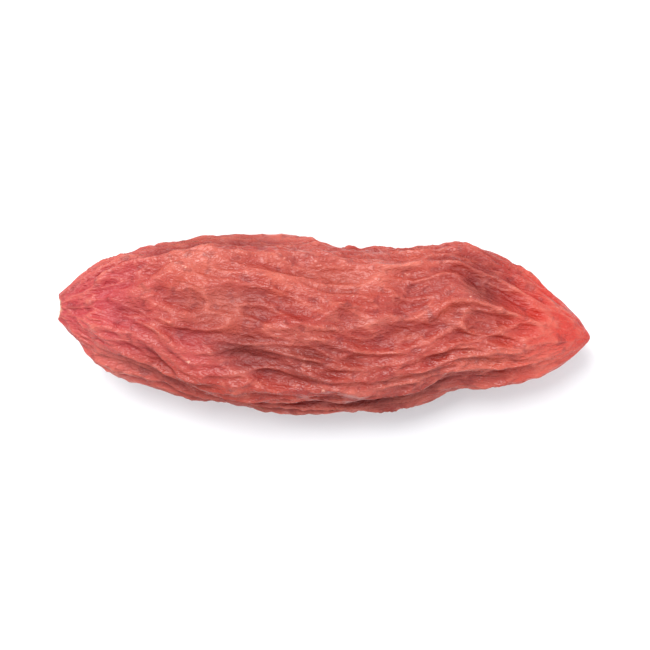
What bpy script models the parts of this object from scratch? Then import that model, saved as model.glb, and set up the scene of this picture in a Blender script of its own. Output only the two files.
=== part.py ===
"""A dried goji berry, lying as it settled on a table.

The berry is one piece of shrunken fruit. Its length runs along X, from the stalk scar at -X to
the style point at +X, and +Z is up. The origin is under its middle, on the table.
"""

import bmesh
import bpy
import numpy as np

MM = 0.001

# The berry without its wrinkles. Along is 0 at the stalk end and 1 at the style end.
LENGTH = 19.0 * MM
WIDTH = 6.2 * MM
THICKNESS = 4.5 * MM
WIDEST_AT = 0.35
WAIST_AT, WAIST_SPREAD, WAIST = 0.15, 0.11, 0.13
STALK_END_TAPER, STYLE_END_TAPER = 0.33, 0.10
BEND_AT, BEND_BEFORE, BEND_AFTER = 0.77, 0.08, 0.13
BEND = 0.52 * MM
BOW_AT, BOW_SPREAD, BOW = 0.53, 0.16, -0.37 * MM
END_LIFT = 0.70 * MM
LIFT_FROM, LIFT_REACH = 0.65, 0.50

# The stalk scar is a shallow dish with a low rim, and the style leaves a small point.
SCAR_RADIUS = 0.45 * MM
SCAR_CUT = 0.08 * MM
SCAR_DEPTH = 0.16 * MM
SCAR_RIM, SCAR_RIM_SPREAD = 0.06 * MM, 0.16 * MM
STYLE_POINT, STYLE_POINT_RADIUS = 0.14 * MM, 0.26 * MM

# Two families of ridges cover the skin: count around the berry, length along it, and height.
# Their crests are narrow and the valleys between them round, as in skin that has shrunk.
FOLDS = {"count": 7, "length": 7.0 * MM, "height": 0.34 * MM}
FOLD_CREST = {"width": 0.60, "rounding": 0.12, "power": 1.6}
WRINKLES = {"count": 22, "length": 5.2 * MM, "height": 0.26 * MM}
WRINKLE_CREST = {"width": 0.42, "rounding": 0.10, "power": 1.6}
CREST_SHARE = 0.50
LEAN = 0.55
SPIRAL = 0.20
MEAN_RADIUS = 2.9 * MM

# Ridges seen in the photograph: shares along, then degrees from the top, at the two ends, and
# then width and height in millimetres. Angles grow towards +Y.
LONG_RIDGES = (
    (0.08, 0.66, 47, 56, 0.42, 0.32),
    (0.20, 0.42, 26, 27, 0.32, 0.20),
    (0.42, 0.64, 2, 32, 0.34, 0.30),
    (0.44, 0.80, -23, -36, 0.26, 0.26),
    (0.36, 0.58, -43, -40, 0.28, 0.24),
    (0.54, 0.74, -52, -48, 0.28, 0.24),
    (0.68, 0.86, 10, 20, 0.30, 0.20),
    (0.60, 0.74, -90, -86, 0.90, 0.24),
)

# Places where the skin has sunk in: share along, degrees from the top, their two spreads, and
# the depth in millimetres.
HOLLOWS = (
    (0.37, -21, 0.080, 13, 0.42),
    (0.80, 33, 0.040, 14, 0.30),
    (0.14, 5, 0.050, 16, 0.25),
    (0.65, -62, 0.090, 10, 0.42),
    (0.52, 40, 0.100, 14, 0.15),
    (0.30, 118, 0.110, 20, 0.35),
    (0.66, -125, 0.120, 16, 0.35),
)

# The side that it dried on is smoother, and flat where it touches the table.
PRESSED_AT, PRESSED_SPREAD = 0.49, 0.22
PRESSED_ANGLE, PRESSED_ANGLE_SPREAD = 182, 40
PRESSED_HEIGHT = 0.14 * MM
FLAT_SPOT_DEPTH = 0.10 * MM

AROUND_STEPS = 88
ALONG_STEPS = 56
NOISE_SEED = 7
SKIN_COLOUR = (0.56, 0.085, 0.055, 1.0)


def clear_scene():
    for obj in list(bpy.data.objects):
        bpy.data.objects.remove(obj)


def smooth_step(low, high, value):
    """0 below low, 1 above high, and an S-curve between them."""
    share = np.clip((value - low) / (high - low), 0, 1)
    return share * share * (3 - 2 * share)


def bell(value, centre, spread):
    return np.exp(-(((value - centre) / spread) ** 2))


def turn_between(angle, centre):
    """The angle from centre, in radians, the shorter way round."""
    return (angle - centre + np.pi) % (2 * np.pi) - np.pi


def girth_at(along):
    """The half width as a share of the widest: two half ovals, one with a waist, and tapers."""
    before = np.clip((WIDEST_AT - along) / WIDEST_AT, 0, 1)
    after = np.clip((along - WIDEST_AT) / (1 - WIDEST_AT), 0, 1)
    girth = np.sqrt(1 - np.where(along < WIDEST_AT, before, after) ** 2)
    girth = girth * (1 - WAIST * bell(along, WAIST_AT, WAIST_SPREAD))
    girth = girth * (1 - STALK_END_TAPER * smooth_step(0.62, 1.0, before))
    return girth * (1 - STYLE_END_TAPER * smooth_step(0.85, 1.0, after))


def middle_at(along):
    """How far the berry's middle line leaves the X axis, sideways and upwards."""
    spread = np.where(along < BEND_AT, BEND_BEFORE, BEND_AFTER)
    side = BEND * bell(along, BEND_AT, spread) + BOW * bell(along, BOW_AT, BOW_SPREAD)
    lift = END_LIFT * ((along - LIFT_FROM) / LIFT_REACH) ** 2
    return side, lift


class SkinNoise:
    """Smooth noise on a lattice of random tilts, read on a tube so that it has no seam."""

    RIDGES_FOR_RADIUS = 6.9  # how many ridges a circle of radius 1 crosses
    SCALE = 1.7

    def __init__(self, seed):
        draw = np.random.default_rng(seed)
        self.order = draw.permutation(256)
        tilts = draw.normal(size=(256, 3))
        self.tilts = tilts / np.linalg.norm(tilts, axis=1, keepdims=True)

    def at(self, x, y, z):
        point = np.stack(np.broadcast_arrays(x, y, z), -1).astype(float)
        cell = np.floor(point).astype(int)
        part = point - cell
        ease = part**3 * (part * (part * 6 - 15) + 10)
        total = np.zeros(point.shape[:-1])
        for corner in np.ndindex(2, 2, 2):
            a, b, c = np.moveaxis(cell + corner, -1, 0) & 255
            pick = self.order[(self.order[(self.order[a] + b) & 255] + c) & 255]
            pull = (self.tilts[pick] * (part - corner)).sum(-1)
            total += pull * np.prod(np.where(corner, ease, 1 - ease), -1)
        return total * self.SCALE

    def on_skin(self, along, around, count, length, layer):
        """Noise with about count ridges round the berry's middle and fewer near its ends."""
        radius = count / self.RIDGES_FOR_RADIUS * np.sqrt(girth_at(along))
        return self.at(
            along * LENGTH / length + layer,
            radius * np.cos(around) + layer * 1.7,
            radius * np.sin(around) - layer,
        )


def crest(noise, width, rounding, power):
    """1 along the lines where the noise is 0, falling in a hollow curve to 0 at width."""
    away = np.sqrt(noise * noise + rounding**2) - rounding
    return np.clip(1 - away / width, 0, 1) ** power


def wrinkle_height(noise, along, around):
    """The height of the two families of ridges, from valleys below 0 to crests above it."""
    warp = 0.20 * noise.on_skin(along, around, 4, 7.0 * MM, 3.1)
    warp += 0.08 * noise.on_skin(along, around, 9, 3.5 * MM, 9.2)
    turned = around + warp + SPIRAL * (along - 0.5)
    slid = np.clip(along + 0.02 * noise.on_skin(along, around, 5, 5.0 * MM, 5.5), 0, 1)
    folds = noise.on_skin(slid, turned, FOLDS["count"], FOLDS["length"], 11.3)
    wrinkles = noise.on_skin(slid, turned, WRINKLES["count"], WRINKLES["length"], 58.3)
    dense = smooth_step(-0.35, 0.25, noise.on_skin(along, around, 4, 5.0 * MM, 41.0))
    height = FOLDS["height"] * (crest(folds, **FOLD_CREST) - CREST_SHARE)
    wrinkle_crests = crest(wrinkles, **WRINKLE_CREST)
    height += WRINKLES["height"] * (wrinkle_crests - CREST_SHARE) * (0.7 + 0.3 * dense)
    return height * (1 - 0.6 * smooth_step(0.86, 0.95, along))


def sunken(along, around):
    """The depth of the hollows."""
    depth = np.zeros_like(along)
    for at, angle, spread, turn_spread, deep in HOLLOWS:
        turn = turn_between(around, np.radians(angle))
        depth += deep * MM * bell(along, at, spread) * bell(turn, 0, np.radians(turn_spread))
    return depth


def long_ridges(along, around):
    """The height of the ridges that the photograph shows, each on its own wandering line."""
    height = np.zeros_like(along)
    for start, end, first, last, wide, tall in LONG_RIDGES:
        share = np.clip((along - start) / (end - start), -0.3, 1.3)
        line = np.radians(first + (last - first) * share) + 0.06 * np.sin(9 * share + first)
        across = np.abs(turn_between(around, line)) * MEAN_RADIUS / (wide * MM)
        shown = smooth_step(-0.15, 0.15, share) * (1 - smooth_step(0.85, 1.15, share))
        height += tall * MM * shown * np.exp(-(across**1.5))
    return height


def pressed_share(along, around):
    """1 in the middle of the underside, fading to 0 round it."""
    turn = turn_between(around, np.radians(PRESSED_ANGLE))
    spread = np.radians(PRESSED_ANGLE_SPREAD)
    return bell(along, PRESSED_AT, PRESSED_SPREAD) * bell(turn, 0, spread)


def smooth_berry(noise, along, around):
    """The skin without its wrinkles, at each share along and angle from the top towards +Y."""
    girth = girth_at(along)
    side, lift = middle_at(along)
    swell = 1 + 0.03 * noise.on_skin(along, around, 3, 6.0 * MM, 71.0)
    return np.stack(
        [
            along * LENGTH - LENGTH / 2,
            side + WIDTH / 2 * girth * swell * np.sin(around),
            lift + THICKNESS / 2 * girth * swell * np.cos(around),
        ],
        -1,
    )


def outward(noise, along, around):
    """The direction straight out of the smooth berry."""
    step = 0.0005
    inner = np.clip(along, 2 * step, 1 - 2 * step)
    lengthways = smooth_berry(noise, inner + step, around)
    lengthways -= smooth_berry(noise, inner - step, around)
    roundways = smooth_berry(noise, inner, around + 10 * step)
    roundways -= smooth_berry(noise, inner, around - 10 * step)
    normal = np.cross(lengthways, roundways)
    return normal / np.linalg.norm(normal, axis=-1, keepdims=True)


def shape_ends(points, along):
    """Cuts the stalk end flat for the scar, dishes it, and draws out the style point."""
    side, lift = middle_at(along)
    x, from_axis = points[..., 0], np.hypot(points[..., 1] - side, points[..., 2] - lift)
    at_stalk = 1 - smooth_step(0.04, 0.10, along)
    cut = np.maximum(x, -LENGTH / 2 + SCAR_CUT)
    dish = SCAR_DEPTH * np.clip(1 - (from_axis / SCAR_RADIUS) ** 2, 0, 1)
    rim = SCAR_RIM * bell(from_axis, SCAR_RADIUS, SCAR_RIM_SPREAD)
    point = STYLE_POINT * bell(from_axis, 0, STYLE_POINT_RADIUS) * smooth_step(0.9, 1.0, along)
    points[..., 0] = cut + (dish - rim) * at_stalk + point
    return points


def berry_surface(along, around):
    """The point of the skin at each share along and angle round from the top towards +Y."""
    noise = SkinNoise(NOISE_SEED)
    near_end = smooth_step(0.0, 0.65, girth_at(along))
    pressed = pressed_share(along, around)
    height = wrinkle_height(noise, along, around) * (1 - pressed) + PRESSED_HEIGHT * pressed
    height = (height + long_ridges(along, around)) * near_end - sunken(along, around)
    lean = LEAN * noise.on_skin(along, around, 3, 5.0 * MM, 83.0) * near_end
    leaned = around + lean * height / MEAN_RADIUS
    points = smooth_berry(noise, along, leaned)
    points += outward(noise, along, leaned) * height[..., None]
    return shape_ends(points, along)


def set_down(points):
    """Moves the berry over the origin and flattens what the table presses against."""
    low, high = points.min(axis=0), points.max(axis=0)
    points = points - [(low[0] + high[0]) / 2, (low[1] + high[1]) / 2, low[2] + FLAT_SPOT_DEPTH]
    points[:, 2] = np.maximum(points[:, 2], 0)
    return points


def even_spacing(latitude):
    """Shares along for rings at equal distances over the skin, from latitude 0 to pi."""
    along = (1 - np.cos(np.linspace(0, np.pi, 2000))) / 2
    steps = np.hypot(np.diff(along) * LENGTH, np.diff(girth_at(along)) * WIDTH / 2)
    walked = np.concatenate([[0], np.cumsum(steps)])
    return np.interp(latitude / np.pi, walked / walked[-1], along)


def skin_material():
    material = bpy.data.materials.new("dried skin")
    material.use_nodes = True
    shader = material.node_tree.nodes["Principled BSDF"]
    shader.inputs["Base Color"].default_value = SKIN_COLOUR
    shader.inputs["Roughness"].default_value = 0.5
    shader.inputs["Metallic"].default_value = 0.0
    return material


def make_berry(collection):
    """A ball whose poles are the berry's two ends, with every point moved on to the skin."""
    mesh = bpy.data.meshes.new("dried_goji_berry")
    ball = bmesh.new()
    bmesh.ops.create_uvsphere(ball, u_segments=AROUND_STEPS, v_segments=ALONG_STEPS, radius=1.0)
    ball.to_mesh(mesh)
    ball.free()
    on_ball = np.empty(len(mesh.vertices) * 3)
    mesh.vertices.foreach_get("co", on_ball)
    on_ball = on_ball.reshape(-1, 3)
    along = even_spacing(np.arccos(np.clip(-on_ball[:, 2], -1, 1)))
    around = np.arctan2(-on_ball[:, 1], on_ball[:, 0])
    mesh.vertices.foreach_set("co", set_down(berry_surface(along, around)).ravel())
    mesh.update()
    mesh.shade_smooth()
    mesh.materials.append(skin_material())
    berry = bpy.data.objects.new("dried_goji_berry", mesh)
    collection.objects.link(berry)
    return berry


def main():
    clear_scene()
    collection = bpy.data.collections.new("dried goji berry")
    bpy.context.scene.collection.children.link(collection)
    make_berry(collection)


if __name__ == "__main__":
    main()
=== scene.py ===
# %% [markdown]
# # A dried goji berry
#
# A goji berry dries whole. The pulp loses most of its water, the skin stays nearly as large as it
# was, and so it falls into long folds that run from the stalk end to the style end, with finer and
# finer wrinkles between them. This lesson makes one berry, 19 mm long, that lies on its side.
#
# The berry grew as one piece, so it is one surface here: a function of two numbers, how far along
# the berry a point is and how far round it. Along is 0 at the stalk end and 1 at the style end.
# Round is an angle from the top, and grows towards +Y. Everything is in metres, with +X along the
# berry.

import bpy
import numpy as np
from mathutils import Matrix, Vector


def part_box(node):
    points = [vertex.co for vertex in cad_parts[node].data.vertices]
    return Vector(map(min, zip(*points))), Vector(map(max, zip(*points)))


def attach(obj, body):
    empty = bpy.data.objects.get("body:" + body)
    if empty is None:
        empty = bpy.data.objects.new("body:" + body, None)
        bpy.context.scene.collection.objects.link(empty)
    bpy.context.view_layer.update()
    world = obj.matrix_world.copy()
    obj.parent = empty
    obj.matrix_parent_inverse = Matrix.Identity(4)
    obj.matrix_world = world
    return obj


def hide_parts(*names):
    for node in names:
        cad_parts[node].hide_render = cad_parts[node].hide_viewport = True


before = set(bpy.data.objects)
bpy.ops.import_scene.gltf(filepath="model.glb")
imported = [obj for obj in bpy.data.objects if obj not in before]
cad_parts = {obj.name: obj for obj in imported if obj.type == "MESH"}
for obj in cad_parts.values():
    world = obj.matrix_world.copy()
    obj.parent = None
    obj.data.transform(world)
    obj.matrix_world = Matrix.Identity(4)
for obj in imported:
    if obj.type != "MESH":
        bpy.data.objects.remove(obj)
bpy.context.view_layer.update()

MM = 0.001
node_low, node_high = (np.array(corner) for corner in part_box("dried_goji_berry"))
print("the solid is", np.round((node_high - node_low) / MM, 2), "mm")

# %% [markdown]
# ## The camera
#
# The photograph was taken from far above, a little to the side of this berry. A camera right over
# a small thing would show its outline but flatten its relief, and a near one would make the closer
# end look larger. So a long lens stands in here, from far off. The berry lies about 3 degrees off
# level in the picture, which is a turn of the camera, because the berry itself stays along X.

# %% Place the camera
FRAME_WIDTH = 23.4 * MM
LENS = 0.200
SENSOR = 0.036
NEAREST_SEEN = 5 * MM
VIEW_FROM = Vector((0.05, 0.06, 1.0)).normalized()
VIEW_ROLL = np.radians(-3.5)
LOOK_AT = Vector((0.0, 0.0, 2.0 * MM))


def make_camera():
    """A camera whose frame is FRAME_WIDTH across at LOOK_AT: distance = width x lens / sensor."""
    data = bpy.data.cameras.new("camera")
    data.lens = LENS / MM
    data.sensor_width = SENSOR / MM
    data.clip_start = NEAREST_SEEN
    camera = bpy.data.objects.new("camera", data)
    bpy.context.scene.collection.objects.link(camera)
    distance = FRAME_WIDTH * LENS / SENSOR
    camera.location = LOOK_AT + VIEW_FROM * distance
    level = Vector((np.cos(VIEW_ROLL), -np.sin(VIEW_ROLL), 0.0))
    up = VIEW_FROM.cross(level).normalized()
    across = up.cross(VIEW_FROM)
    camera.rotation_euler = Matrix((across, up, VIEW_FROM)).transposed().to_euler()
    bpy.context.scene.camera = camera
    print("the camera is", round(distance / MM), "mm away")


make_camera()

# %% [markdown]
# ## Two curves that everything uses
#
# Hardly anything on a fruit starts or stops at a line. So two soft curves shape nearly all that
# follows: a step that eases in and out, for what begins somewhere, and a bell, for what is in one
# place. Hard limits would be quicker to write, but each would show as a crease in the skin.

# %% Make the curves
def smooth_step(low, high, value):
    """0 below low, 1 above high, and 3 t^2 - 2 t^3 between them."""
    share = np.clip((value - low) / (high - low), 0, 1)
    return share * share * (3 - 2 * share)


def bell(value, centre, spread):
    """1 at the centre, falling as e to minus the square of the distance in spreads."""
    return np.exp(-(((value - centre) / spread) ** 2))


def turn_between(angle, centre):
    """The angle from centre, in radians, the shorter way round."""
    return (angle - centre + np.pi) % (2 * np.pi) - np.pi


print("a bell at 0, 1 and 2 spreads:", np.round(bell(np.array([0, 1, 2]), 0, 1), 2))

# %% [markdown]
# ## The berry before it shrank
#
# Under the wrinkles is a plain form: a long oval, widest before its middle and lower than it is
# wide. Its middle bows a little to -Y, and its style end bends to +Y. It could be sculpted by hand,
# but then no size could be read from it. Here two half ovals that meet at the widest place give
# its girth, one shallow dip narrows it near the stalk end, both ends taper, and bell curves move
# its middle line sideways.

# %% Give the berry its sizes
LENGTH, WIDTH, THICKNESS = 19.0 * MM, 6.2 * MM, 4.5 * MM
WIDEST_AT = 0.35
WAIST_AT, WAIST_SPREAD, WAIST = 0.15, 0.11, 0.13
STALK_TAPER_FROM, STALK_END_TAPER = 0.62, 0.33
STYLE_TAPER_FROM, STYLE_END_TAPER = 0.85, 0.10
BEND_AT, BEND_BEFORE, BEND_AFTER, BEND = 0.77, 0.08, 0.13, 0.52 * MM
BOW_AT, BOW_SPREAD, BOW = 0.53, 0.16, -0.37 * MM
LIFT_FROM, LIFT_REACH, END_LIFT = 0.65, 0.50, 0.70 * MM
MEAN_RADIUS = 2.9 * MM


def girth_at(along):
    """The half width as a share of the widest: root of 1 - t^2, times a waist and two tapers."""
    before = np.clip((WIDEST_AT - along) / WIDEST_AT, 0, 1)
    after = np.clip((along - WIDEST_AT) / (1 - WIDEST_AT), 0, 1)
    girth = np.sqrt(1 - np.where(along < WIDEST_AT, before, after) ** 2)
    girth = girth * (1 - WAIST * bell(along, WAIST_AT, WAIST_SPREAD))
    girth = girth * (1 - STALK_END_TAPER * smooth_step(STALK_TAPER_FROM, 1.0, before))
    return girth * (1 - STYLE_END_TAPER * smooth_step(STYLE_TAPER_FROM, 1.0, after))


def middle_at(along):
    """How far the middle line leaves the X axis: bells sideways, and a parabola upwards."""
    spread = np.where(along < BEND_AT, BEND_BEFORE, BEND_AFTER)
    side = BEND * bell(along, BEND_AT, spread) + BOW * bell(along, BOW_AT, BOW_SPREAD)
    lift = END_LIFT * ((along - LIFT_FROM) / LIFT_REACH) ** 2
    return side, lift


print("girth at the quarters:", np.round(girth_at(np.array([0.25, 0.5, 0.75])), 3))

# %% [markdown]
# ## Noise that fits round a berry
#
# Wrinkles are irregular, but neighbours agree with each other, and that is what gradient noise
# gives. Noise on a flat picture of the skin would show a seam where the picture's edges meet, and
# would pinch at the ends. So it is read in space, on a tube that narrows towards both ends: the
# pattern closes on itself, and the ridges run together near the tips as they do on the fruit.

# %% Make the noise
NOISE_SEED = 7
NOISE_SCALE = 1.7
LATTICE_SIZE = 256
draw = np.random.default_rng(NOISE_SEED)
ORDER = draw.permutation(LATTICE_SIZE)
TILTS = draw.normal(size=(LATTICE_SIZE, 3))
TILTS /= np.linalg.norm(TILTS, axis=1, keepdims=True)


def lattice_noise(x, y, z):
    """Each corner of a unit lattice holds a tilted plane that is 0 at the corner. A point gets
    the eight planes around it, blended by 6 t^5 - 15 t^4 + 10 t^3 along each side."""
    point = np.stack(np.broadcast_arrays(x, y, z), -1).astype(float)
    cell = np.floor(point).astype(int)
    part = point - cell
    ease = part**3 * (part * (part * 6 - 15) + 10)
    total = np.zeros(point.shape[:-1])
    for corner in np.ndindex(2, 2, 2):
        a, b, c = np.moveaxis(cell + corner, -1, 0) % LATTICE_SIZE
        pick = ORDER[(ORDER[(ORDER[a] + b) % LATTICE_SIZE] + c) % LATTICE_SIZE]
        pull = (TILTS[pick] * (part - corner)).sum(-1)
        total += pull * np.prod(np.where(corner, ease, 1 - ease), -1)
    return total * NOISE_SCALE


print("noise at one point:", round(float(lattice_noise(0.3, 0.4, 0.5)), 3))

# %% [markdown]
# ## From noise to ridges
#
# The lines where the noise is 0 wander over the skin and never end in the open, as the crests of
# real wrinkles do. So a ridge is raised along those lines, and falls away in a hollow curve on
# both sides. The noise itself, used as a height, would give round lumps instead. Each pattern
# takes its own layer of the noise, far from the others, so that no two are alike.

# %% Read the noise on the skin
RIDGES_FOR_RADIUS = 6.9
SIDEWAYS_SHIFT = 1.7


def on_skin(along, around, count, length, layer):
    """Noise on the tube, with about count ridges round the middle, each about length long."""
    radius = count / RIDGES_FOR_RADIUS * np.sqrt(girth_at(along))
    return lattice_noise(
        along * LENGTH / length + layer,
        radius * np.cos(around) + layer * SIDEWAYS_SHIFT,
        radius * np.sin(around) - layer,
    )


def crest(noise, width, rounding, power):
    """Ridges follow the lines where noise is 0: (1 - (|noise| rounded off) / width) ^ power."""
    away = np.sqrt(noise * noise + rounding**2) - rounding
    return np.clip(1 - away / width, 0, 1) ** power


print("a crest's profile:", np.round(crest(np.array([0, 0.2, 0.4]), 0.42, 0.10, 1.6), 2))

# %% [markdown]
# ## Folds, wrinkles, crinkles
#
# Shrunken skin buckles at several sizes at once. The widest folds are as far apart as the skin and
# the pulp beneath are stiff together, and each smaller family rides on the larger one. Four
# families are added here, with about 7, 22, 46 and 92 ridges round the berry. Narrow crests with
# round valleys between them look like dry skin. Plain sine waves would look like corrugated iron.

# %% Give each family its sizes
FOLDS = {"count": 7, "length": 7.0 * MM, "layer": 11.3}
WRINKLES = {"count": 22, "length": 5.2 * MM, "layer": 58.3}
CRINKLES = {"count": 46, "length": 1.6 * MM, "layer": 31.9}
GRAIN = {"count": 92, "length": 0.60 * MM, "layer": 47.7}
FOLD_CREST = {"width": 0.60, "rounding": 0.12, "power": 1.6}
WRINKLE_CREST = {"width": 0.42, "rounding": 0.10, "power": 1.6}
CRINKLE_CREST = {"width": 0.42, "rounding": 0.08, "power": 1.5}
GRAIN_CREST = {"width": 0.45, "rounding": 0.08, "power": 1.3}
FOLD_HEIGHT, WRINKLE_HEIGHT = 0.34 * MM, 0.26 * MM
CRINKLE_HEIGHT, GRAIN_HEIGHT = 0.13 * MM, 0.05 * MM
print("ridges round the berry:", [kind["count"] for kind in (FOLDS, WRINKLES, CRINKLES, GRAIN)])

# %% [markdown]
# ## Ridges that bend and gather
#
# On the fruit, ridges swerve, run together and leave calmer skin here and there, and the style end
# is smoother. Straight ones would look combed. So before a family is read, the angle and the place
# along are moved a little by slow noise, and the wrinkles turn a little round the berry. One more
# slow noise says where the skin is densely wrinkled.

# %% Raise the wrinkles
BROAD_SWERVE = {"count": 4, "length": 7.0 * MM, "layer": 3.1}
BROAD_TURN = 0.20
FINE_SWERVE = {"count": 9, "length": 3.5 * MM, "layer": 9.2}
FINE_TURN = 0.08
SLIDE = {"count": 5, "length": 5.0 * MM, "layer": 5.5}
SLIDE_SHARE = 0.02
SPIRAL = 0.20
DENSITY = {"count": 4, "length": 5.0 * MM, "layer": 41.0}
SPARSE_UNDER, DENSE_OVER = -0.35, 0.25
SPARSE_WRINKLES, SPARSE_CRINKLES = 0.7, 0.8
CREST_SHARE, GRAIN_SHARE = 0.50, 0.40
CALM_FROM, CALM_FULL, CALM_SHARE = 0.86, 0.95, 0.6


def wrinkle_crests(along, around):
    """The crest height of each family, from 0 in its valleys to 1."""
    swerve = BROAD_TURN * on_skin(along, around, **BROAD_SWERVE)
    swerve += FINE_TURN * on_skin(along, around, **FINE_SWERVE)
    turned = around + swerve + SPIRAL * (along - 0.5)
    slid = np.clip(along + SLIDE_SHARE * on_skin(along, around, **SLIDE), 0, 1)
    return {
        "fold": crest(on_skin(slid, turned, **FOLDS), **FOLD_CREST),
        "wrinkle": crest(on_skin(slid, turned, **WRINKLES), **WRINKLE_CREST),
        "crinkle": crest(on_skin(slid, turned, **CRINKLES), **CRINKLE_CREST),
        "grain": crest(on_skin(slid, turned, **GRAIN), **GRAIN_CREST),
    }


def wrinkle_height(crests, along, around):
    """Sum of height x (crest - a mean share), with the finer families stronger where dense."""
    dense = smooth_step(SPARSE_UNDER, DENSE_OVER, on_skin(along, around, **DENSITY))
    wrinkles_here = SPARSE_WRINKLES + (1 - SPARSE_WRINKLES) * dense
    crinkles_here = SPARSE_CRINKLES + (1 - SPARSE_CRINKLES) * dense
    height = FOLD_HEIGHT * (crests["fold"] - CREST_SHARE)
    height += WRINKLE_HEIGHT * (crests["wrinkle"] - CREST_SHARE) * wrinkles_here
    height += CRINKLE_HEIGHT * (crests["crinkle"] - CREST_SHARE) * crinkles_here
    height += GRAIN_HEIGHT * (crests["grain"] - GRAIN_SHARE)
    return height * (1 - CALM_SHARE * smooth_step(CALM_FROM, CALM_FULL, along))


steepest = FOLD_HEIGHT + WRINKLE_HEIGHT + CRINKLE_HEIGHT + GRAIN_HEIGHT
print("from valley to crest at most", round(steepest / MM, 2), "mm")

# %% [markdown]
# ## The folds that make this berry this one
#
# Random wrinkles give a berry, but not this one. Eight ridges and seven hollows are placed one by
# one, most of them where the photograph shows them: each ridge follows a gently wandering line
# from one place to another, and each hollow is a soft dent. They could be pushed in with a
# sculpting brush, but a list can be read and changed. It gives each by its share of the length and
# its angle from the top, so that they stay in place if the berry's sizes change.
#
# A ridge is its start and end along the berry, its angle at each, its width and its height in
# millimetres. A hollow is its place along, its angle, how far it spreads along and round, and its
# depth in millimetres.

# %% Place the long ridges and the hollows
LONG_RIDGES = (
    (0.08, 0.66, 47, 56, 0.42, 0.32),
    (0.20, 0.42, 26, 27, 0.32, 0.20),
    (0.42, 0.64, 2, 32, 0.34, 0.30),
    (0.44, 0.80, -23, -36, 0.26, 0.26),
    (0.36, 0.58, -43, -40, 0.28, 0.24),
    (0.54, 0.74, -52, -48, 0.28, 0.24),
    (0.68, 0.86, 10, 20, 0.30, 0.20),
    (0.60, 0.74, -90, -86, 0.90, 0.24),
)
RIDGE_WANDER, RIDGE_WAVES = 0.06, 9
RIDGE_REACH, RIDGE_FADE = 0.30, 0.15
RIDGE_POWER = 1.5
HOLLOWS = (
    (0.37, -21, 0.080, 13, 0.42),
    (0.80, 33, 0.040, 14, 0.30),
    (0.14, 5, 0.050, 16, 0.25),
    (0.65, -62, 0.090, 10, 0.42),
    (0.52, 40, 0.100, 14, 0.15),
    (0.30, 118, 0.110, 20, 0.35),
    (0.66, -125, 0.120, 16, 0.35),
)


def long_ridges(along, around):
    """Height x e to minus (distance from the ridge's line / its width)^1.5, faded at both ends."""
    height = np.zeros_like(along)
    for start, end, first, last, wide, tall in LONG_RIDGES:
        share = np.clip((along - start) / (end - start), -RIDGE_REACH, 1 + RIDGE_REACH)
        line = np.radians(first + (last - first) * share)
        line = line + RIDGE_WANDER * np.sin(RIDGE_WAVES * share + first)
        across = np.abs(turn_between(around, line)) * MEAN_RADIUS / (wide * MM)
        begun = smooth_step(-RIDGE_FADE, RIDGE_FADE, share)
        ended = smooth_step(1 - RIDGE_FADE, 1 + RIDGE_FADE, share)
        height += tall * MM * begun * (1 - ended) * np.exp(-(across**RIDGE_POWER))
    return height


def place_share(along, around, at, angle, spread, turn_spread):
    """A bell along the berry times a bell round it, with the angles in degrees."""
    turn = turn_between(around, np.radians(angle))
    return bell(along, at, spread) * bell(turn, 0, np.radians(turn_spread))


def sunken(along, around):
    """The depth of the hollows, added up."""
    depth = np.zeros_like(along)
    for *place, deep in HOLLOWS:
        depth += deep * MM * place_share(along, around, *place)
    return depth


print(len(LONG_RIDGES), "ridges and", len(HOLLOWS), "hollows are placed")

# %% [markdown]
# ## The two ends
#
# The stalk came off at -X and left a small round scar, a dish with a low rim. At +X the flower's
# style left a tiny point. Small extra meshes could be set on the ends, but each would show a seam.
# So both are made by moving the surface along X by an amount that depends on the distance from the
# middle line, and the skin stays one closed surface.

# %% Shape the ends
SCAR_RADIUS, SCAR_CUT, SCAR_DEPTH = 0.45 * MM, 0.08 * MM, 0.16 * MM
SCAR_RIM, SCAR_RIM_SPREAD = 0.06 * MM, 0.16 * MM
SCAR_FULL, SCAR_GONE = 0.04, 0.10
STYLE_POINT, STYLE_POINT_RADIUS = 0.14 * MM, 0.26 * MM
STYLE_POINT_FROM = 0.9


def from_middle_line(points, along):
    """The distance of each point from the middle line, in the plane across the berry."""
    side, lift = middle_at(along)
    return np.hypot(points[..., 1] - side, points[..., 2] - lift)


def shape_ends(points, along):
    """Stops the stalk end at a flat cut, dishes it by 1 - (r / radius)^2, and adds the point."""
    from_axis = from_middle_line(points, along)
    at_stalk = 1 - smooth_step(SCAR_FULL, SCAR_GONE, along)
    at_style = smooth_step(STYLE_POINT_FROM, 1.0, along)
    cut = np.maximum(points[..., 0], -LENGTH / 2 + SCAR_CUT)
    dish = SCAR_DEPTH * np.clip(1 - (from_axis / SCAR_RADIUS) ** 2, 0, 1)
    rim = SCAR_RIM * bell(from_axis, SCAR_RADIUS, SCAR_RIM_SPREAD)
    point = STYLE_POINT * bell(from_axis, 0, STYLE_POINT_RADIUS) * at_style
    points[..., 0] = cut + (dish - rim) * at_stalk + point
    return points


print("the scar is", round(2 * SCAR_RADIUS / MM, 2), "mm across")

# %% [markdown]
# ## Put the skin together
#
# The plain form gives a point and the direction straight out of it, and the wrinkles move the
# point along that direction. A Displace modifier does the same with the mesh's own normals, which
# are only as fine as the mesh, and here the formula gives the true ones. Real folds also lean over
# a little, so the angle is shifted by an amount that grows with the height: that pushes each crest
# to one side of its valley. The underside, which dried against something flat, is smoother.

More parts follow.
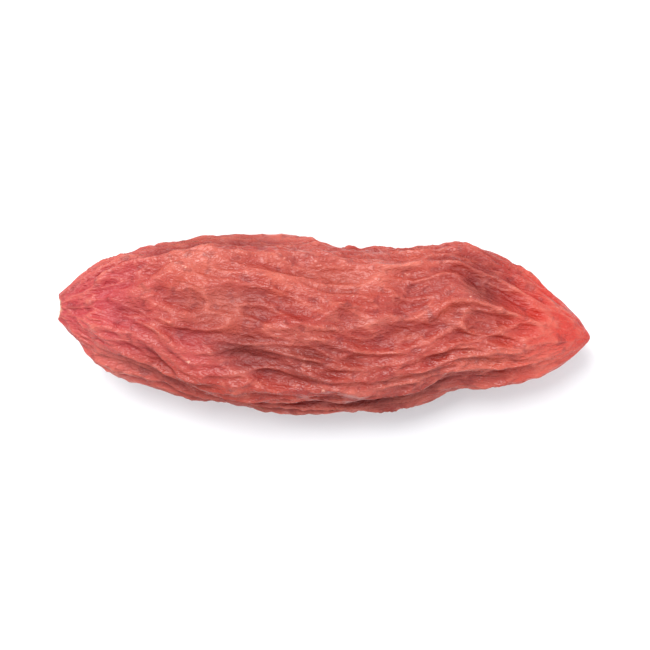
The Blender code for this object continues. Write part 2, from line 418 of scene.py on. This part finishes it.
# %% Work out the surface
SWELL = 0.03
SWELL_NOISE = {"count": 3, "length": 6.0 * MM, "layer": 71.0}
LEAN = 0.55
LEAN_NOISE = {"count": 3, "length": 5.0 * MM, "layer": 83.0}
FULL_RELIEF_GIRTH = 0.65
PRESSED_PLACE = {"at": 0.49, "angle": 182, "spread": 0.22, "turn_spread": 40}
PRESSED_HEIGHT = 0.14 * MM
STEP_ALONG, STEP_ROUND = 0.0005, 0.005


def smooth_berry(along, around):
    """The plain form: x = along, y and z = middle line + half width x girth x sine or cosine."""
    girth = girth_at(along)
    side, lift = middle_at(along)
    swell = 1 + SWELL * on_skin(along, around, **SWELL_NOISE)
    return np.stack(
        [
            along * LENGTH - LENGTH / 2,
            side + WIDTH / 2 * girth * swell * np.sin(around),
            lift + THICKNESS / 2 * girth * swell * np.cos(around),
        ],
        -1,
    )


def outward(along, around):
    """The direction out of the plain form: the cross product of a step along and a step round."""
    inner = np.clip(along, 2 * STEP_ALONG, 1 - 2 * STEP_ALONG)
    lengthways = smooth_berry(inner + STEP_ALONG, around)
    lengthways -= smooth_berry(inner - STEP_ALONG, around)
    roundways = smooth_berry(inner, around + STEP_ROUND)
    roundways -= smooth_berry(inner, around - STEP_ROUND)
    normal = np.cross(lengthways, roundways)
    return normal / np.linalg.norm(normal, axis=-1, keepdims=True)


def berry_surface(along, around):
    """The points of the skin, and the layers that the material reads at each of them."""
    layers = wrinkle_crests(along, around)
    near_end = smooth_step(0.0, FULL_RELIEF_GIRTH, girth_at(along))
    pressed = place_share(along, around, **PRESSED_PLACE)
    depth = sunken(along, around)
    height = wrinkle_height(layers, along, around) * (1 - pressed) + PRESSED_HEIGHT * pressed
    height = (height + long_ridges(along, around)) * near_end - depth
    lean = LEAN * on_skin(along, around, **LEAN_NOISE) * near_end
    leaned = around + lean * height / MEAN_RADIUS
    points = smooth_berry(along, leaned) + outward(along, leaned) * height[..., None]
    points = shape_ends(points, along)
    layers.update(height=height / MM, depth=depth / MM, along=along)
    layers["from_axis"] = from_middle_line(points, along) / MM
    return points, layers


top = smooth_berry(np.array([WIDEST_AT]), np.array([0.0]))
print("where it is widest, the plain form's top is at", np.round(top[0] / MM, 2), "mm")

# %% [markdown]
# ## Lay the grid on the berry
#
# Equal steps along the axis would crowd the rings in the middle and starve the blunt ends, where
# the skin turns inwards. So the rings are spread by the distance walked over the skin. Then the
# berry is set down: its middle goes to the middle of the solid's box, and what would be under the
# table is flattened, as its weight did while it dried.

# %% Work out every point
RINGS, SPOKES = 300, 320
PROFILE_SAMPLES = 2000
FLAT_SPOT_DEPTH = 0.10 * MM


def even_spacing(share):
    """Shares along for rings at equal distances over the skin, from the profile's arc length."""
    along = (1 - np.cos(np.linspace(0, np.pi, PROFILE_SAMPLES))) / 2
    steps = np.hypot(np.diff(along) * LENGTH, np.diff(girth_at(along)) * WIDTH / 2)
    walked = np.concatenate([[0], np.cumsum(steps)])
    return np.interp(share, walked / walked[-1], along)


def set_down(points):
    """Centres the berry on the solid's box and flattens what the table presses against."""
    flat = points.reshape(-1, 3)
    middle = (flat.min(axis=0) + flat.max(axis=0)) / 2
    target = (node_low + node_high) / 2
    points[..., :2] += (target - middle)[:2]
    points[..., 2] = np.maximum(points[..., 2] - flat[:, 2].min() - FLAT_SPOT_DEPTH, 0)
    return points


rings = even_spacing(np.linspace(0, 1, RINGS))
spokes = np.arange(SPOKES) * 2 * np.pi / SPOKES
along_grid, around_grid = np.meshgrid(rings, spokes, indexing="ij")
skin_points, skin_layers = berry_surface(along_grid, around_grid)
skin_points = set_down(skin_points)
print("the skin is", np.round(np.ptp(skin_points.reshape(-1, 3), axis=0) / MM, 2), "mm")

# %% [markdown]
# ## Where the colour changes by place
#
# This berry is not one red. Its belly is deeper and there are rosy stretches. On top of that,
# pale stretches are painted highlights, and brown in some hollows, under folds and on the
# underside is painted shade. A painted picture could hold all that, but it would have to be
# unwrapped and stored. Each place is a soft spot instead, given as a hollow is, without a depth.

# %% Mark the tinted places
TINTED_PLACES = {
    "warm": ((0.31, -47, 0.11, 19), (0.86, -45, 0.08, 20), (0.50, 130, 0.14, 25)),
    "rosy": ((0.11, 8, 0.10, 45), (0.29, -26, 0.08, 14), (0.16, -150, 0.12, 40)),
    # Painted highlights: pale salmon laid where the skin should look brighter lit.
    "pale": (
        (0.56, 44, 0.10, 14),
        (0.27, 40, 0.08, 12),
        (0.31, 12, 0.07, 12),
        (0.80, -42, 0.07, 9),
        (0.12, -62, 0.08, 18),
        (0.92, -50, 0.06, 32),
    ),
    # Painted shade: brown laid in hollows, under folds and on the underside.
    "browned": (
        (0.63, -60, 0.085, 20),
        (0.37, -20, 0.065, 12),
        (0.50, -18, 0.070, 16),
        (0.80, 27, 0.026, 8),
        (0.24, 150, 0.120, 25),
        (0.74, -140, 0.090, 22),
    ),
}


def placed(places, along, around):
    """A share from 0 to 1: the sum of bells round the given places, never over 1."""
    return np.minimum(sum(place_share(along, around, *place) for place in places), 1)


for tint, places in TINTED_PLACES.items():
    skin_layers[tint] = placed(places, along_grid, around_grid)
    print(tint, "covers", round(float(skin_layers[tint].mean()) * 100), "% of the grid")

# %% [markdown]
# ## From a grid to a closed mesh
#
# Each end of the grid is a ring of points in one place. Left as they are they would make slivers,
# so each end gets one point and a fan of triangles, and the rings between are joined by quads.
# The layers go along as attributes, one number a point, for the material to read.

# %% Build the mesh
def grid_faces(ring_count, spoke_count):
    """Fans at the ends and quads between rings; point 0 and the last point are the two ends."""
    here = np.arange(spoke_count)
    following = (here + 1) % spoke_count
    ring = 1 + np.arange(ring_count - 3)[:, None] * spoke_count
    next_ring = ring + spoke_count
    corners = [ring + here, ring + following, next_ring + following, next_ring + here]
    quads = np.stack(corners, -1).reshape(-1, 4)
    last_ring = 1 + (ring_count - 3) * spoke_count
    end = last_ring + spoke_count
    start_fan = np.stack([np.zeros_like(here), 1 + following, 1 + here], -1)
    end_fan = np.stack([np.full_like(here, end), last_ring + here, last_ring + following], -1)
    return start_fan.tolist() + quads.tolist() + end_fan.tolist()


def grid_values(values):
    """The grid's values as one list, with each end ring cut down to a single point."""
    inner = values[1:-1].reshape(-1, *values.shape[2:])
    return np.concatenate([values[:1, 0], inner, values[-1:, 0]])


def make_piece(name, points, layers):
    """A smooth mesh object from grid points, with each layer stored as a point attribute."""
    mesh = bpy.data.meshes.new(name)
    mesh.from_pydata(grid_values(points).tolist(), [], grid_faces(*points.shape[:2]))
    mesh.shade_smooth()
    for layer, values in layers.items():
        attribute = mesh.attributes.new(layer, "FLOAT", "POINT")
        attribute.data.foreach_set("value", grid_values(values).astype(np.float32))
    piece = bpy.data.objects.new(name, mesh)
    bpy.context.scene.collection.objects.link(piece)
    return piece


berry = make_piece("berry_skin", skin_points, skin_layers)
triangles = sum(len(face.vertices) - 2 for face in berry.data.polygons)
print("the berry has", triangles, "triangles")

# %% [markdown]
# ## Writing a material as sums
#
# A finish is mostly arithmetic on masks: this much where the skin is high, that much where it is
# dark. Node by node that is hard to read. So one small class holds a socket and turns + - *,
# powers and abs into Math nodes, and one method adds every other kind of node.

# %% A socket that can be added and multiplied
class Wire:
    """An output socket in a material. Arithmetic on wires and numbers adds Math nodes."""

    def __init__(self, tree, socket=None):
        self.tree = tree
        self.socket = socket

    def node(self, kind, settings=None, inputs=None, output=0):
        """Adds a node, sets its settings, then fills its sockets with values or wires."""
        node = self.tree.nodes.new(kind)
        for name, value in (settings or {}).items():
            setattr(node, name, value)
        for key, value in (inputs or {}).items():
            if isinstance(value, Wire):
                self.tree.links.new(value.socket, node.inputs[key])
            else:
                node.inputs[key].default_value = value
        return Wire(self.tree, node.outputs[output])

    def math(self, operation, first, second):
        return self.node("ShaderNodeMath", {"operation": operation}, {0: first, 1: second})

    def __add__(self, other):
        return self.math("ADD", self, other)

    def __radd__(self, other):
        return self.math("ADD", other, self)

    def __sub__(self, other):
        return self.math("SUBTRACT", self, other)

    def __rsub__(self, other):
        return self.math("SUBTRACT", other, self)

    def __mul__(self, other):
        return self.math("MULTIPLY", self, other)

    def __rmul__(self, other):
        return self.math("MULTIPLY", other, self)

    def __pow__(self, other):
        return self.math("POWER", self, other)

    def __abs__(self):
        return self.math("ABSOLUTE", self, 0)

    def between(self, low, high):
        """0 where this is under low, 1 over high, and a smooth step between them."""
        return self.node(
            "ShaderNodeMapRange",
            {"interpolation_type": "SMOOTHSTEP"},
            {"Value": self, "From Min": low, "From Max": high},
        )

    def layer(self, name):
        """A layer that the mesh carries, such as the height of the skin in millimetres."""
        return self.node("ShaderNodeAttribute", {"attribute_name": name}, output="Fac")

    def noise(self, per_metre, detail=2.0, roughness=0.5, stretch=(1, 1, 1), offset=0.0):
        """Noise of so many features a metre on Object coordinates, stretched where asked."""
        place = self.node("ShaderNodeTexCoord", output="Object")
        sockets = {"Vector": place, "Scale": stretch, "Location": (offset,) * 3}
        place = self.node("ShaderNodeMapping", inputs=sockets)
        sockets = {"Vector": place, "Scale": per_metre, "Detail": detail, "Roughness": roughness}
        return self.node("ShaderNodeTexNoise", inputs=sockets)

    def ridges(self, per_metre, stretch=(1, 1, 1), offset=0.0):
        """Crests where the noise is near its middle: 1 - |noise - 1/2| x 6, not under 0."""
        middle = self.noise(per_metre, detail=1.0, stretch=stretch, offset=offset) - 0.5
        return (1 - abs(middle) * 6).between(0, 1)

    def tint(self, amount, under, over):
        """The colour under, with over laid on it by the amount."""
        sockets = {0: amount, 6: under, 7: over}
        return self.node("ShaderNodeMix", {"data_type": "RGBA"}, sockets, output=2)


def new_material(name):
    """A material with its Principled shader, and a wire to start expressions from."""
    material = bpy.data.materials.new(name)
    material.use_nodes = True
    shader = material.node_tree.nodes["Principled BSDF"]
    return material, shader, Wire(material.node_tree)


print("a wire can", ", ".join(name for name in vars(Wire) if not name.startswith("_")))

# %% [markdown]
# ## The skin's colour
#
# Dry goji skin is thin and a little see-through. Where it is stretched over a crest, it looks
# pale salmon, and where it is folded double in a valley, it is a deep wine red. The pale crests are
# partly a painted highlight, and the dark valleys partly painted shade. The fruit is brighter and
# smoother at the style end and pinker at the stalk end, and the deep creases and the underside
# carry painted brown shade.
#
# One colour picture wrapped round the berry could show all that, but it would blur close up. Here
# each colour is laid on by a mask: the relief that the mesh carries, a place, or a little noise.
# A range gives where its mask starts and is full, and an amount how much of the colour goes on.

# %% Mix the skin
DEEP_RED = (0.215, 0.014, 0.011, 1)
BODY_RED = (0.325, 0.026, 0.018, 1)
# Salmon: the crests' own colour and a painted highlight, and the colour of the pale places.
SALMON_AND_HIGHLIGHT = (0.570, 0.144, 0.101, 1)
TIP_RED = (0.530, 0.026, 0.016, 1)
STALK_PINK = (0.500, 0.050, 0.064, 1)
# Dark purple: random blush and dark pores, and painted shade in the hollows.
DARK_PURPLE_AND_SHADE = (0.150, 0.009, 0.012, 1)
# Brown for painted shade in hollows, under folds and on the underside.
SHADE_BROWN = (0.170, 0.020, 0.015, 1)
MOTTLE_ORANGE = (0.480, 0.066, 0.026, 1)
BELLY_RED = (0.295, 0.022, 0.011, 1)

BODY_RANGE = (-0.28, 0.24)
MOTTLE = {"per_metre": 900, "detail": 3.0, "roughness": 0.6, "stretch": (0.5, 1, 1)}
MOTTLE_RANGE, MOTTLE_AMOUNT = (0.45, 0.75), 0.40
BLUSH = {"per_metre": 1300, "detail": 3.0, "stretch": (0.4, 1, 1), "offset": 3.0}
BLUSH_RANGE, BLUSH_AMOUNT = (0.50, 0.72), 0.30
WARM_AMOUNT, ROSY_AMOUNT, PAINTED_HIGHLIGHT_AMOUNT = 0.80, 0.45, 0.42
TIP_RANGE, TIP_AMOUNT = (0.80, 0.93), 0.75
STALK_RANGE, STALK_AMOUNT = (0.05, 0.24), 0.55


def ground_colour(start):
    """Deep red to body red by height, then two slow noises, the tinted places and both ends."""
    # The deep red in the valleys is partly the doubled skin and partly painted shade.
    colour = start.tint(start.layer("height").between(*BODY_RANGE), DEEP_RED, BODY_RED)
    mottle = start.noise(**MOTTLE).between(*MOTTLE_RANGE)
    colour = start.tint(mottle * MOTTLE_AMOUNT, colour, MOTTLE_ORANGE)
    blush = start.noise(**BLUSH).between(*BLUSH_RANGE)
    colour = start.tint(blush * BLUSH_AMOUNT, colour, DARK_PURPLE_AND_SHADE)
    colour = start.tint(start.layer("warm") * WARM_AMOUNT, colour, BELLY_RED)
    colour = start.tint(start.layer("rosy") * ROSY_AMOUNT, colour, STALK_PINK)
    tip = start.layer("along").between(*TIP_RANGE)
    colour = start.tint(tip * TIP_AMOUNT, colour, TIP_RED)
    stalk = 1 - start.layer("along").between(*STALK_RANGE)
    colour = start.tint(stalk * STALK_AMOUNT, colour, STALK_PINK)
    # The pale places are painted highlights.
    return start.tint(start.layer("pale") * PAINTED_HIGHLIGHT_AMOUNT, colour, SALMON_AND_HIGHLIGHT)


material, shader, start = new_material("dried skin")
colour = ground_colour(start)
print("the ground colour takes", len(material.node_tree.nodes), "nodes")

# %% [markdown]
# ## Pale crests and dark creases
#
# On the ground colour, each crest of each family gets its share of salmon, partly the stretched
# skin's own colour and partly a painted highlight. A power keeps the share narrow, so that only the
# top of a crest is pale. A slow noise makes the crests fade here and there, because evenly pale
# ones would look drawn on. Painted shade comes last, purple in the hollows and brown in the listed
# places, and leaves the small crests in it a little lighter.

# %% Pick out the crests
FOLD_POWER, FOLD_AMOUNT = 3, 0.10
WRINKLE_POWER, WRINKLE_AMOUNT = 4, 0.42
CRINKLE_POWER, CRINKLE_AMOUNT = 4, 0.36
GRAIN_POWER, GRAIN_AMOUNT = 3, 0.12
PATCHES = {"per_metre": 900, "offset": 7.0}
PATCH_RANGE, FADED_CRESTS = (0.30, 0.65), 0.4
HOLLOW_SHADE_RANGE, HOLLOW_SHADE_AMOUNT = (0.06, 0.40), 0.60
BROWN_SHADE_AMOUNT = 0.85
CRINKLE_RELEASE = 0.5


def crest_colour(start, colour):
    """Salmon by the sum of amount x crest ^ power, partly a painted highlight, then painted shade:
    purple in the hollows and brown in the listed places.
    """
    # The salmon on the crests is partly the stretched skin and partly a painted highlight.
    crests = start.layer("fold") ** FOLD_POWER * FOLD_AMOUNT
    crests = crests + start.layer("wrinkle") ** WRINKLE_POWER * WRINKLE_AMOUNT
    crests = crests + start.layer("crinkle") ** CRINKLE_POWER * CRINKLE_AMOUNT
    crests = crests + start.layer("grain") ** GRAIN_POWER * GRAIN_AMOUNT
    patchy = start.noise(**PATCHES).between(*PATCH_RANGE)
    crests = crests * (patchy * (1 - FADED_CRESTS) + FADED_CRESTS)
    crests = crests * (1 - start.layer("warm") * WARM_AMOUNT)
    colour = start.tint(crests, colour, SALMON_AND_HIGHLIGHT)
    off_crinkles = 1 - start.layer("crinkle") * CRINKLE_RELEASE
    # Purple laid by the depth of the hollows is painted shade.
    hollow_shade = start.layer("depth").between(*HOLLOW_SHADE_RANGE) * off_crinkles
    colour = start.tint(hollow_shade * HOLLOW_SHADE_AMOUNT, colour, DARK_PURPLE_AND_SHADE)
    # Brown in the listed places is painted shade.
    return start.tint(start.layer("browned") * off_crinkles * BROWN_SHADE_AMOUNT, colour, SHADE_BROWN)


colour = crest_colour(start, colour)
print("with crests and creases it takes", len(material.node_tree.nodes), "nodes")

# %% [markdown]
# ## Specks, sugar and the stalk scar
#
# Close up, the skin is freckled with dark pores and pale flecks, and a grain of dried sugar sits
# on a crest here and there. The pale flecks and the sugar are partly painted glints as well, laid
# mostly on high skin. Modelled one by one they would cost thousands of faces, and they have no
# height to speak of, so they are noise with its peaks cut out. The scar is bare dry wood, buff.

# %% Sprinkle the specks
# Cream for the sugar specks, which are partly painted glints.
SUGAR_AND_GLINT_WHITE = (0.860, 0.420, 0.320, 1)
SCAR_BUFF = (0.620, 0.420, 0.270, 1)
DARK_SPECKS = {"per_metre": 2300, "offset": 17.0}
DARK_SPECK_RANGE, DARK_SPECK_AMOUNT = (0.56, 0.70), 0.40
PALE_SPECKS = {"per_metre": 2600, "offset": 13.0}
PALE_SPECK_RANGE, PALE_SPECKS_LOW, PALE_SPECKS_HIGH = (0.58, 0.72), 0.06, 0.32
SUGAR_AND_GLINTS = {"per_metre": 3000, "offset": 11.0}
SUGAR_AND_GLINT_RANGE, SUGAR_AND_GLINT_AMOUNT = (0.70, 0.80), 0.70
RAISED_RANGE = (-0.04, 0.20)
SCAR_EDGE, SCAR_ALONG = (0.30, 0.48), (0.012, 0.030)


def speckled(start, colour):
    """Dark specks everywhere, pale specks and sugar more where the skin is raised, and the scar."""
    dark = start.noise(**DARK_SPECKS).between(*DARK_SPECK_RANGE)
    colour = start.tint(dark * DARK_SPECK_AMOUNT, colour, DARK_PURPLE_AND_SHADE)
    raised = start.layer("height").between(*RAISED_RANGE)
    # Pale specks are partly real flecks and partly painted glints, more on high skin.
    pale = start.noise(**PALE_SPECKS).between(*PALE_SPECK_RANGE)
    pale = pale * (raised * (PALE_SPECKS_HIGH - PALE_SPECKS_LOW) + PALE_SPECKS_LOW)
    colour = start.tint(pale, colour, SALMON_AND_HIGHLIGHT)
    # Sugar specks are partly real sugar and partly painted glints.
    sugar = start.noise(**SUGAR_AND_GLINTS).between(*SUGAR_AND_GLINT_RANGE)
    colour = start.tint(sugar * raised * SUGAR_AND_GLINT_AMOUNT, colour, SUGAR_AND_GLINT_WHITE)
    scar = 1 - start.layer("from_axis").between(*SCAR_EDGE)
    scar = scar * (1 - start.layer("along").between(*SCAR_ALONG))
    return start.tint(scar, colour, SCAR_BUFF)


colour = speckled(start, colour)
material.node_tree.links.new(colour.socket, shader.inputs["Base Color"])
print("the whole colour takes", len(material.node_tree.nodes), "nodes")

# %% [markdown]
# ## Gloss and the finest creases
#
# What stands high is rubbed smooth, so it is glossier than the valleys. Creases less than a
# twentieth of a millimetre deep would need a far finer mesh, so they are a bump, which tilts the
# light on the skin and leaves its shape alone. A little light also passes under the skin, red
# furthest.

# %% Finish the skin
CREASES = {"per_metre": 2800, "stretch": (0.45, 1, 1), "offset": 5.0}
FINE_CREASES = {"per_metre": 7000, "stretch": (0.6, 1, 1), "offset": 9.0}
CREASE_SHARE, FINE_CREASE_SHARE = 0.55, 0.45
BUMP_STRENGTH, BUMP_HEIGHT = 0.7, 0.05 * MM
VALLEY_ROUGHNESS, CREST_GLOSS, CREASE_GLOSS = 0.54, 0.16, 0.06
GLOSS_RANGE = (-0.30, 0.30)
SKIN_IOR = 1.45
UNDER_SKIN_SHARE = 0.10
UNDER_SKIN_REACH = (0.5 * MM, 0.14 * MM, 0.08 * MM)


def finish_skin(material, shader, start):
    """Roughness = valley value - height share - crease share, and a bump from both creases."""
    fine_creases = start.ridges(**FINE_CREASES)
    relief = start.ridges(**CREASES) * CREASE_SHARE + fine_creases * FINE_CREASE_SHARE
    sockets = {"Strength": BUMP_STRENGTH, "Distance": BUMP_HEIGHT, "Height": relief}
    bump = start.node("ShaderNodeBump", inputs=sockets)
    raised = start.layer("height").between(*GLOSS_RANGE)
    roughness = VALLEY_ROUGHNESS - raised * CREST_GLOSS - fine_creases * CREASE_GLOSS
    material.node_tree.links.new(roughness.socket, shader.inputs["Roughness"])
    material.node_tree.links.new(bump.socket, shader.inputs["Normal"])
    shader.inputs["Subsurface Weight"].default_value = UNDER_SKIN_SHARE
    shader.inputs["Subsurface Radius"].default_value = UNDER_SKIN_REACH
    shader.inputs["Subsurface Scale"].default_value = 1.0
    shader.inputs["IOR"].default_value = SKIN_IOR


finish_skin(material, shader, start)
berry.data.materials.append(material)
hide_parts("dried_goji_berry")
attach(berry, "root")
print("the finished skin has", len(material.node_tree.nodes), "nodes")

# %% [markdown]
# ## The floor
#
# The berry lies on a plain white ground. A real white table reflects a lot of light back up, so a
# pale floor does half of the lighting. It could be a sweep that curves up behind the berry, but
# from above only the flat part is seen, so it is one large square.

# %% Lay the floor
FLOOR_SIZE = 1.2
FLOOR_GAP = 0.02 * MM
FLOOR_WHITE = (0.88, 0.885, 0.90, 1)
FLOOR_ROUGHNESS = 0.7


def make_floor():
    """A square plane, a hair under the berry, so that no face of the two shares a place."""
    half = FLOOR_SIZE / 2
    corners = [(-half, -half), (half, -half), (half, half), (-half, half)]
    mesh = bpy.data.meshes.new("floor")
    mesh.from_pydata([(x, y, -FLOOR_GAP) for x, y in corners], [], [(0, 1, 2, 3)])
    floor = bpy.data.objects.new("floor", mesh)
    bpy.context.scene.collection.objects.link(floor)
    sweep, sweep_shader, _ = new_material("white sweep")
    sweep_shader.inputs["Base Color"].default_value = FLOOR_WHITE
    sweep_shader.inputs["Roughness"].default_value = FLOOR_ROUGHNESS
    mesh.materials.append(sweep)
    print("the floor is", FLOOR_SIZE, "m square")


make_floor()

# %% [markdown]
# ## The light
#
# Broad, even light comes from a plain sky. One soft lamp high up, a little to the upper left, gives
# the wrinkles their bright and dark sides and leaves a faint shadow at the lower right. A small
# lamp beside it makes the tiny glints, and a weak one opposite fills the shadows. One bright sun
# would be simpler, but its shadows in the wrinkles would be black.

# %% Set the lights
SKY_STRENGTH = 0.93
SKY_COLOUR = (0.94, 0.975, 1.0, 1)
LAMPS = (
    ("key", (-0.04, 0.08, 0.20), 0.10, 0.35),
    ("glint", (-0.07, 0.12, 0.16), 0.015, 0.10),
    ("fill", (0.16, -0.08, 0.12), 0.14, 0.08),
)


def make_lights():
    """A plain sky, a hair bluer than white, and square lamps that face the berry, each given by
    its place, its size and its watts."""
    world = bpy.data.worlds.new("sky")
    bpy.context.scene.world = world
    world.use_nodes = True
    background = world.node_tree.nodes["Background"]
    background.inputs["Color"].default_value = SKY_COLOUR
    background.inputs["Strength"].default_value = SKY_STRENGTH
    for name, place, size, watts in LAMPS:
        data = bpy.data.lights.new(name, "AREA")
        data.size = size
        data.energy = watts
        lamp = bpy.data.objects.new(name, data)
        lamp.location = place
        lamp.rotation_euler = (-Vector(place)).to_track_quat("-Z", "Y").to_euler()
        bpy.context.scene.collection.objects.link(lamp)
    print("the lamps are", ", ".join(lamp[0] for lamp in LAMPS))


make_lights()
bpy.context.scene.view_settings.view_transform = "Standard"

# %% [markdown]
# ## The size against the solid's box
#
# The skin has to keep within a tenth of a millimetre of the solid's box, or the part would look
# larger than it is. A glance at the picture wouldn't show that, so the sizes of both are printed:
# the solid's when it is read, and the skin's when its points are worked out.
